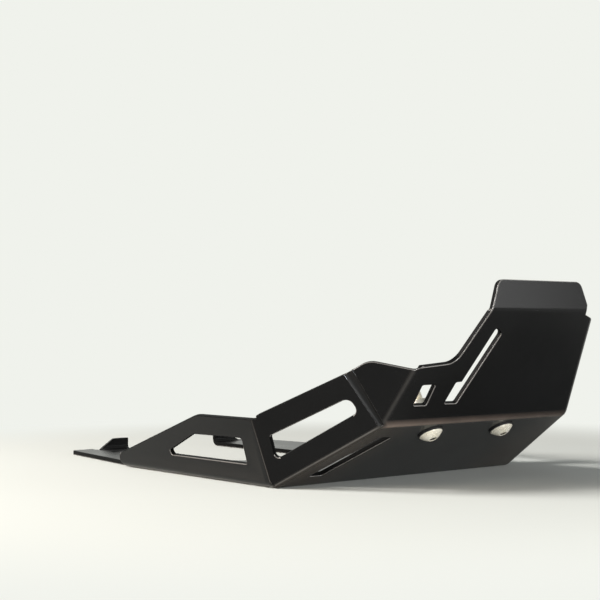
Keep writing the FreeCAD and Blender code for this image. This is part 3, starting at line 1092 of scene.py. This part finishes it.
@dataclass
class FrontFixing:
    """One front fixing: a flanged button-head screw, its washer, rubber ring and spacer sleeve.

    Sizes are in millimetres, apart from the crossing, where the left screw's axis meets the outside of the
    sheet. It is mirrored for the right. Lengths along the screw are measured outwards from there.
    """

    side: Side
    crossing: Vector = field(default_factory=lambda: Vector((181.136, 38.3, 40.982)) * MM)
    outward: Vector = field(default_factory=lambda: Vector((0.483282, 0.0, -0.875465)))
    steps: int = 96
    crease_degrees: float = 38.0
    # The head, from its seat on the washer up to the flat of its crown.
    washer: float = 1.2
    flange_radius: float = 9.0
    flange_height: float = 1.0
    dome_radius: float = 8.4
    dome_sink: float = 0.2
    dome_steps: int = 8
    dome_swell: Vector = field(default_factory=lambda: Vector((0.16, 0.22)))
    head_height: float = 4.4
    flat_radius: float = 3.5
    crown_lead: float = 0.25
    crown_drop: float = 0.04
    # The rounded rim of the flange, as steps in from its radius and up from its seat.
    rim: tuple[tuple[float, float], ...] = (
        (0.36, 0.62),
        (0.16, 0.5),
        (0.04, 0.36),
        (0.0, 0.22),
        (0.0, 0.12),
        (0.06, 0.04),
        (0.2, 0.0),
    )
    # The hexagon socket, with the drilled cone below its floor and the chamfer at its mouth.
    socket_width: float = 5.0
    socket_depth: float = 2.8
    socket_rows: int = 5
    socket_draft: float = 0.985
    floor_step: float = 0.08
    cone_depth: float = 0.7
    cone_shoulder: float = 0.3
    cone_point: float = 0.02
    over_corners: float = 1.155
    mouth_depth: float = 0.45
    mouth_edge: tuple[float, float] = (0.04, 0.34)
    mouth_round: tuple[float, float] = (0.18, 0.06)
    mouth_round_hexagon: float = 0.15
    mouth_reach: float = 0.3
    # The shank, its fillet under the head and its end at the thread.
    shank_radius: float = 3.55
    fillet_out: float = 0.3
    fillet_down: float = 0.25
    neck: float = -25.5
    neck_start: float = 0.12
    neck_step: tuple[float, float] = (0.05, 0.03)
    # The thread. Its crest and flank are shares of a pitch.
    thread_radius: float = 4.0
    thread_pitch: float = 1.25
    thread_depth: float = 0.7
    thread_crest: float = 0.07
    thread_flank: float = 0.3
    rows_per_turn: int = 10
    tip: float = -38.8
    tip_chamfer: float = 1.0
    tip_closing: float = 0.01
    slack: float = 1e-6
    # The rounding of the other pieces' edges.
    washer_round: float = 0.25
    rubber_round: float = 0.5
    sleeve_round: float = 0.2
    round_steps: int = 2
    round_degrees: float = 35.0

    def place(self) -> Matrix:
        """Give the screw's place: its own Z runs outwards from the nose panel.

        Returns:
            The matrix from the screw's own axes to the frame.
        """
        out = self.outward.normalized()
        along = Vector((0.0, 1.0, 0.0))
        up = out.cross(along)
        turn = Matrix((along, up, out)).transposed().to_4x4()
        at = Vector((self.crossing.x, self.crossing.y * self.side.value, self.crossing.z))
        return Matrix.Translation(at) @ turn

    def socket_profile(self) -> list[tuple[float, float, float]]:
        """Give the rows of the socket, from the point of its drilled cone to the flat of the crown.

        Returns:
            Rows of radius, height and share of hexagon, from 0 for a circle to 1 for the socket.
        """
        top = self.washer + self.head_height
        half = self.socket_width / 2.0
        corner = half * self.over_corners
        floor = top - self.socket_depth
        edge_out, edge_down = self.mouth_edge
        round_out, round_down = self.mouth_round
        return [
            (self.cone_point, floor - self.cone_depth, 0.0),
            (half / 2.0, floor - self.cone_shoulder, 0.0),
            (half * self.socket_draft, floor, 1.0),
            (half * self.socket_draft, floor + self.floor_step, 1.0),
            (half, top - self.mouth_depth, 1.0),
            (half + edge_out, top - edge_down, 1.0),
            (corner + round_out, top - round_down, self.mouth_round_hexagon),
            (corner + self.mouth_reach, top, 0.0),
            (self.flat_radius - self.crown_lead, top, 0.0),
        ]

    def dome_profile(self) -> list[tuple[float, float, float]]:
        """Give the rows of the dome, on one swelling curve from the crown down to the flange.

        Returns:
            Rows of radius, height and a share of hexagon of 0.
        """
        start = Vector((self.flat_radius, self.washer + self.head_height - self.crown_drop))
        finish = Vector((self.dome_radius, self.washer + self.flange_height - self.dome_sink))
        pull = (start + finish) / 2.0 + self.dome_swell * 2.0
        rows = []
        for step in range(self.dome_steps + 1):
            t = step / self.dome_steps
            point = start * (1.0 - t) ** 2 + pull * (2.0 * t * (1.0 - t)) + finish * t**2
            rows.append((point.x, point.y, 0.0))
        return rows

    def shank_profile(self) -> list[tuple[float, float, float]]:
        """Give the rows of the flange's rim and underside and of the shank, down to the thread.

        Returns:
            Rows of radius, height and a share of hexagon of 0.
        """
        step_in, step_up = self.neck_step
        rows = [(self.flange_radius - inward, self.washer + up, 0.0) for inward, up in self.rim]
        return rows + [
            (self.shank_radius + self.fillet_out, self.washer, 0.0),
            (self.shank_radius, self.washer - self.fillet_down, 0.0),
            (self.shank_radius, self.neck + self.neck_start, 0.0),
            (self.shank_radius - step_in, self.neck + step_up, 0.0),
        ]

    def thread_radius_at(self, height: float, turn: float) -> float:
        """Give the thread's radius at a height and an angle.

        Args:
            height: the height along the screw, in millimetres.
            turn: the angle around it, in turns.

        Returns:
            The radius in millimetres.
        """
        phase = (height / self.thread_pitch + turn) % 1.0
        flank = min(max((abs(phase - 0.5) - self.thread_crest) / self.thread_flank, 0.0), 1.0)
        run_in = min(max((self.neck - height) / self.thread_pitch, 0.0), 1.0)
        radius = self.thread_radius - self.thread_depth * flank * run_in
        end = self.thread_radius - self.tip_chamfer + (height - self.tip)
        return min(radius, end)

    def rows(self) -> list[list[Vector]]:
        """Give every row of points of the screw, from the socket to the tip.

        Returns:
            Rows of points in millimetres, in the screw's own axes.
        """
        rows = []
        sixth = math.tau / 6.0
        for radius, height, share in self.socket_profile() + self.dome_profile() + self.shank_profile():
            row = []
            for step in range(self.steps):
                angle = math.tau * step / self.steps
                corner = (angle % sixth) - sixth / 2.0
                reach = radius * ((1.0 - share) + share / math.cos(corner))
                row.append(Vector((reach * math.cos(angle), reach * math.sin(angle), height)))
            rows.append(row)
        height = self.neck
        while height > self.tip - self.slack:
            row = []
            for step in range(self.steps):
                angle = math.tau * step / self.steps
                reach = self.thread_radius_at(height, step / self.steps)
                row.append(Vector((reach * math.cos(angle), reach * math.sin(angle), height)))
            rows.append(row)
            height -= self.thread_pitch / self.rows_per_turn
        rows.append([Vector((p.x * self.tip_closing, p.y * self.tip_closing, self.tip)) for p in rows[-1]])
        return rows

    def build_screw(self) -> bpy.types.Object:
        """Build the screw with its socket, dome, flange and thread.

        Returns:
            The screw's object.
        """
        form = bmesh.new()
        place = self.place()
        rings = [[form.verts.new(place @ (p * MM)) for p in row] for row in self.rows()]
        for row, (inner, outer) in enumerate(zip(rings, rings[1:])):
            for step in range(self.steps):
                ahead = (step + 1) % self.steps
                face = form.faces.new((inner[step], outer[step], outer[ahead], inner[ahead]))
                face.material_index = int(row < self.socket_rows)
        form.faces.new(list(reversed(rings[0]))).material_index = 1
        form.faces.new(rings[-1])
        bmesh.ops.recalc_face_normals(form, faces=form.faces)
        for face in form.faces:
            face.smooth = True
        for edge in form.edges:
            edge.smooth = edge.calc_face_angle(0.0) < math.radians(self.crease_degrees)
        mesh = bpy.data.meshes.new("front_screw_body_" + self.side.word)
        form.to_mesh(mesh)
        form.free()
        for finish in (ZINC, SOCKET):
            mesh.materials.append(finish.build())
        screw = bpy.data.objects.new(mesh.name, mesh)
        bpy.context.scene.collection.objects.link(screw)
        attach(screw, "root")
        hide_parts("front_screw_" + self.side.word)
        return screw

    def dress(self, frame: dict[str, Any]) -> list[bpy.types.Object]:
        """Give the washer, the rubber ring and the sleeve their finishes and soft edges.


        Returns:
            The three pieces.
        """
        finishes = {
            "washer": (NYLON, self.washer_round),
            "rubber": (RUBBER, self.rubber_round),
            "sleeve": (SLEEVE_ZINC, self.sleeve_round),
        }
        nodes = []
        for piece, (finish, edge) in finishes.items():
            node = frame["nodes"]["front_%s_%s" % (piece, self.side.word)]
            node.data.materials.clear()
            node.data.materials.append(finish.build())
            soften = node.modifiers.new("soft_edges", "BEVEL")
            soften.width = edge * MM
            soften.segments = self.round_steps
            soften.limit_method = "ANGLE"
            soften.angle_limit = math.radians(self.round_degrees)
            weighted = node.modifiers.new("flat_faces", "WEIGHTED_NORMAL")
            weighted.mode = "FACE_AREA"
            nodes.append(node)
        return nodes


@dataclass(frozen=True)
class Lamp:
    """A soft square lamp: where it hangs and points, its width in metres, power in watts and colour."""

    name: str
    at: tuple[float, float, float]
    target: tuple[float, float, float]
    size: float
    power: float
    colour: str

    def hang(self) -> None:
        """Hang the lamp, out of the camera's sight."""
        light = bpy.data.lights.new(self.name, "AREA")
        light.shape = "SQUARE"
        light.size = self.size
        light.energy = self.power
        light.color = linear(self.colour)[:3]
        lamp = bpy.data.objects.new(self.name, light)
        lamp.location = self.at
        lamp.rotation_euler = (Vector(self.target) - Vector(self.at)).to_track_quat("-Z", "Y").to_euler()
        lamp.visible_camera = False
        bpy.context.scene.collection.objects.link(lamp)


# The key lamp hangs on the right, and the softer ones around the part.
GUARD_MIDDLE = (0.05, 0.0, 0.05)
LAMPS = (
    Lamp("key_lamp", (-1.1, -2.2, 1.5), (-0.1, -0.15, 0.0), 1.3, 120.0, "#fffbf7"),
    Lamp("top_lamp", (-0.1, 0.15, 1.3), GUARD_MIDDLE, 1.0, 0.6, "#f4f8ff"),
    Lamp("fill_lamp", (1.2, -0.2, 0.13), GUARD_MIDDLE, 0.3, 10.0, "#ffffff"),
    Lamp("side_lamp", (-0.3, -1.3, 0.25), (-0.05, -0.12, 0.02), 0.5, 10.0, "#ffecd8"),
    Lamp("lip_lamp", (1.05, 0.68, 0.26), (0.24, 0.02, 0.13), 0.4, 2.2, "#ffffff"),
)


@dataclass
class Studio:
    """Pale floor, soft light and the camera at the photograph's angle."""

    camera_at: Vector = field(default_factory=lambda: Vector((0.848272, -0.693929, 0.112045)))
    azimuth: float = 51.4
    elevation: float = -1.7194
    roll: float = -0.3559
    lens: float = 75.0
    sensor: float = 36.0
    floor_reach: float = 6.0
    floor_drop: float = 0.2 * MM
    sky: str = "#f0f2ec"
    room_light: float = 0.1

    def build_floor(self) -> bpy.types.Object:
        """Lay the floor that the part rests on.

        Returns:
            The floor's object.
        """
        mesh = bpy.data.meshes.new("floor")
        r = self.floor_reach
        mesh.from_pydata([(-r, -r, 0.0), (r, -r, 0.0), (r, r, 0.0), (-r, r, 0.0)], [], [(0, 1, 2, 3)])
        mesh.materials.append(BOARD.build())
        floor = bpy.data.objects.new("floor", mesh)
        floor.location.z = -self.floor_drop
        bpy.context.scene.collection.objects.link(floor)
        return floor

    def build_world(self) -> None:
        """Fill the room with soft pale light."""
        world = bpy.data.worlds.new("studio_room")
        bpy.context.scene.world = world
        world.use_nodes = True
        tree = world.node_tree
        tree.nodes.clear()
        room = add(tree, "ShaderNodeBackground", {"Color": linear(self.sky), "Strength": self.room_light})
        wall = add(tree, "ShaderNodeBackground", {"Color": linear(self.sky), "Strength": 1.0})
        mix = add(
            tree,
            "ShaderNodeMixShader",
            {0: seen_ray(tree), 1: room.outputs[0], 2: wall.outputs[0]},
        )
        add(tree, "ShaderNodeOutputWorld", {"Surface": mix.outputs[0]})

    def build_camera(self) -> bpy.types.Object:
        """Set the camera where the photograph was taken from.

        Returns:
            The camera's object.
        """
        a, e, r = (math.radians(v) for v in (self.azimuth, self.elevation, self.roll))
        back = Vector((math.sin(a) * math.cos(e), -math.cos(a) * math.cos(e), math.sin(e)))
        right = (-back).cross(Vector((0.0, 0.0, 1.0))).normalized()
        up = right.cross(-back)
        turned = right * math.cos(r) + up * math.sin(r)
        tall = up * math.cos(r) - right * math.sin(r)
        data = bpy.data.cameras.new("photo_camera")
        data.lens = self.lens
        data.sensor_width = self.sensor
        camera = bpy.data.objects.new("photo_camera", data)
        turn = Matrix((turned, tall, back)).transposed().to_4x4()
        camera.matrix_world = Matrix.Translation(self.camera_at) @ turn
        bpy.context.scene.collection.objects.link(camera)
        bpy.context.scene.camera = camera
        return camera

    def build(self) -> None:
        """Build the floor, the light and the camera."""
        self.build_floor()
        self.build_world()
        for lamp in LAMPS:
            lamp.hang()
        self.build_camera()
        bpy.context.scene.view_settings.view_transform = "Standard"


def main() -> None:
    """Dress every piece of the guard and set up the studio."""
    logging.basicConfig(level=logging.INFO, format="%(name)s: %(message)s")
    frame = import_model()
    pieces = [FoldedPlate().build(frame)]
    for side in Side:
        fixing = FrontFixing(side)
        pieces.append(fixing.build_screw())
        pieces += fixing.dress(frame)
    for piece in pieces:
        LOG.info("%s: %d faces", piece.name, len(piece.data.polygons))
    Studio().build()


if __name__ == "__main__":
    main()
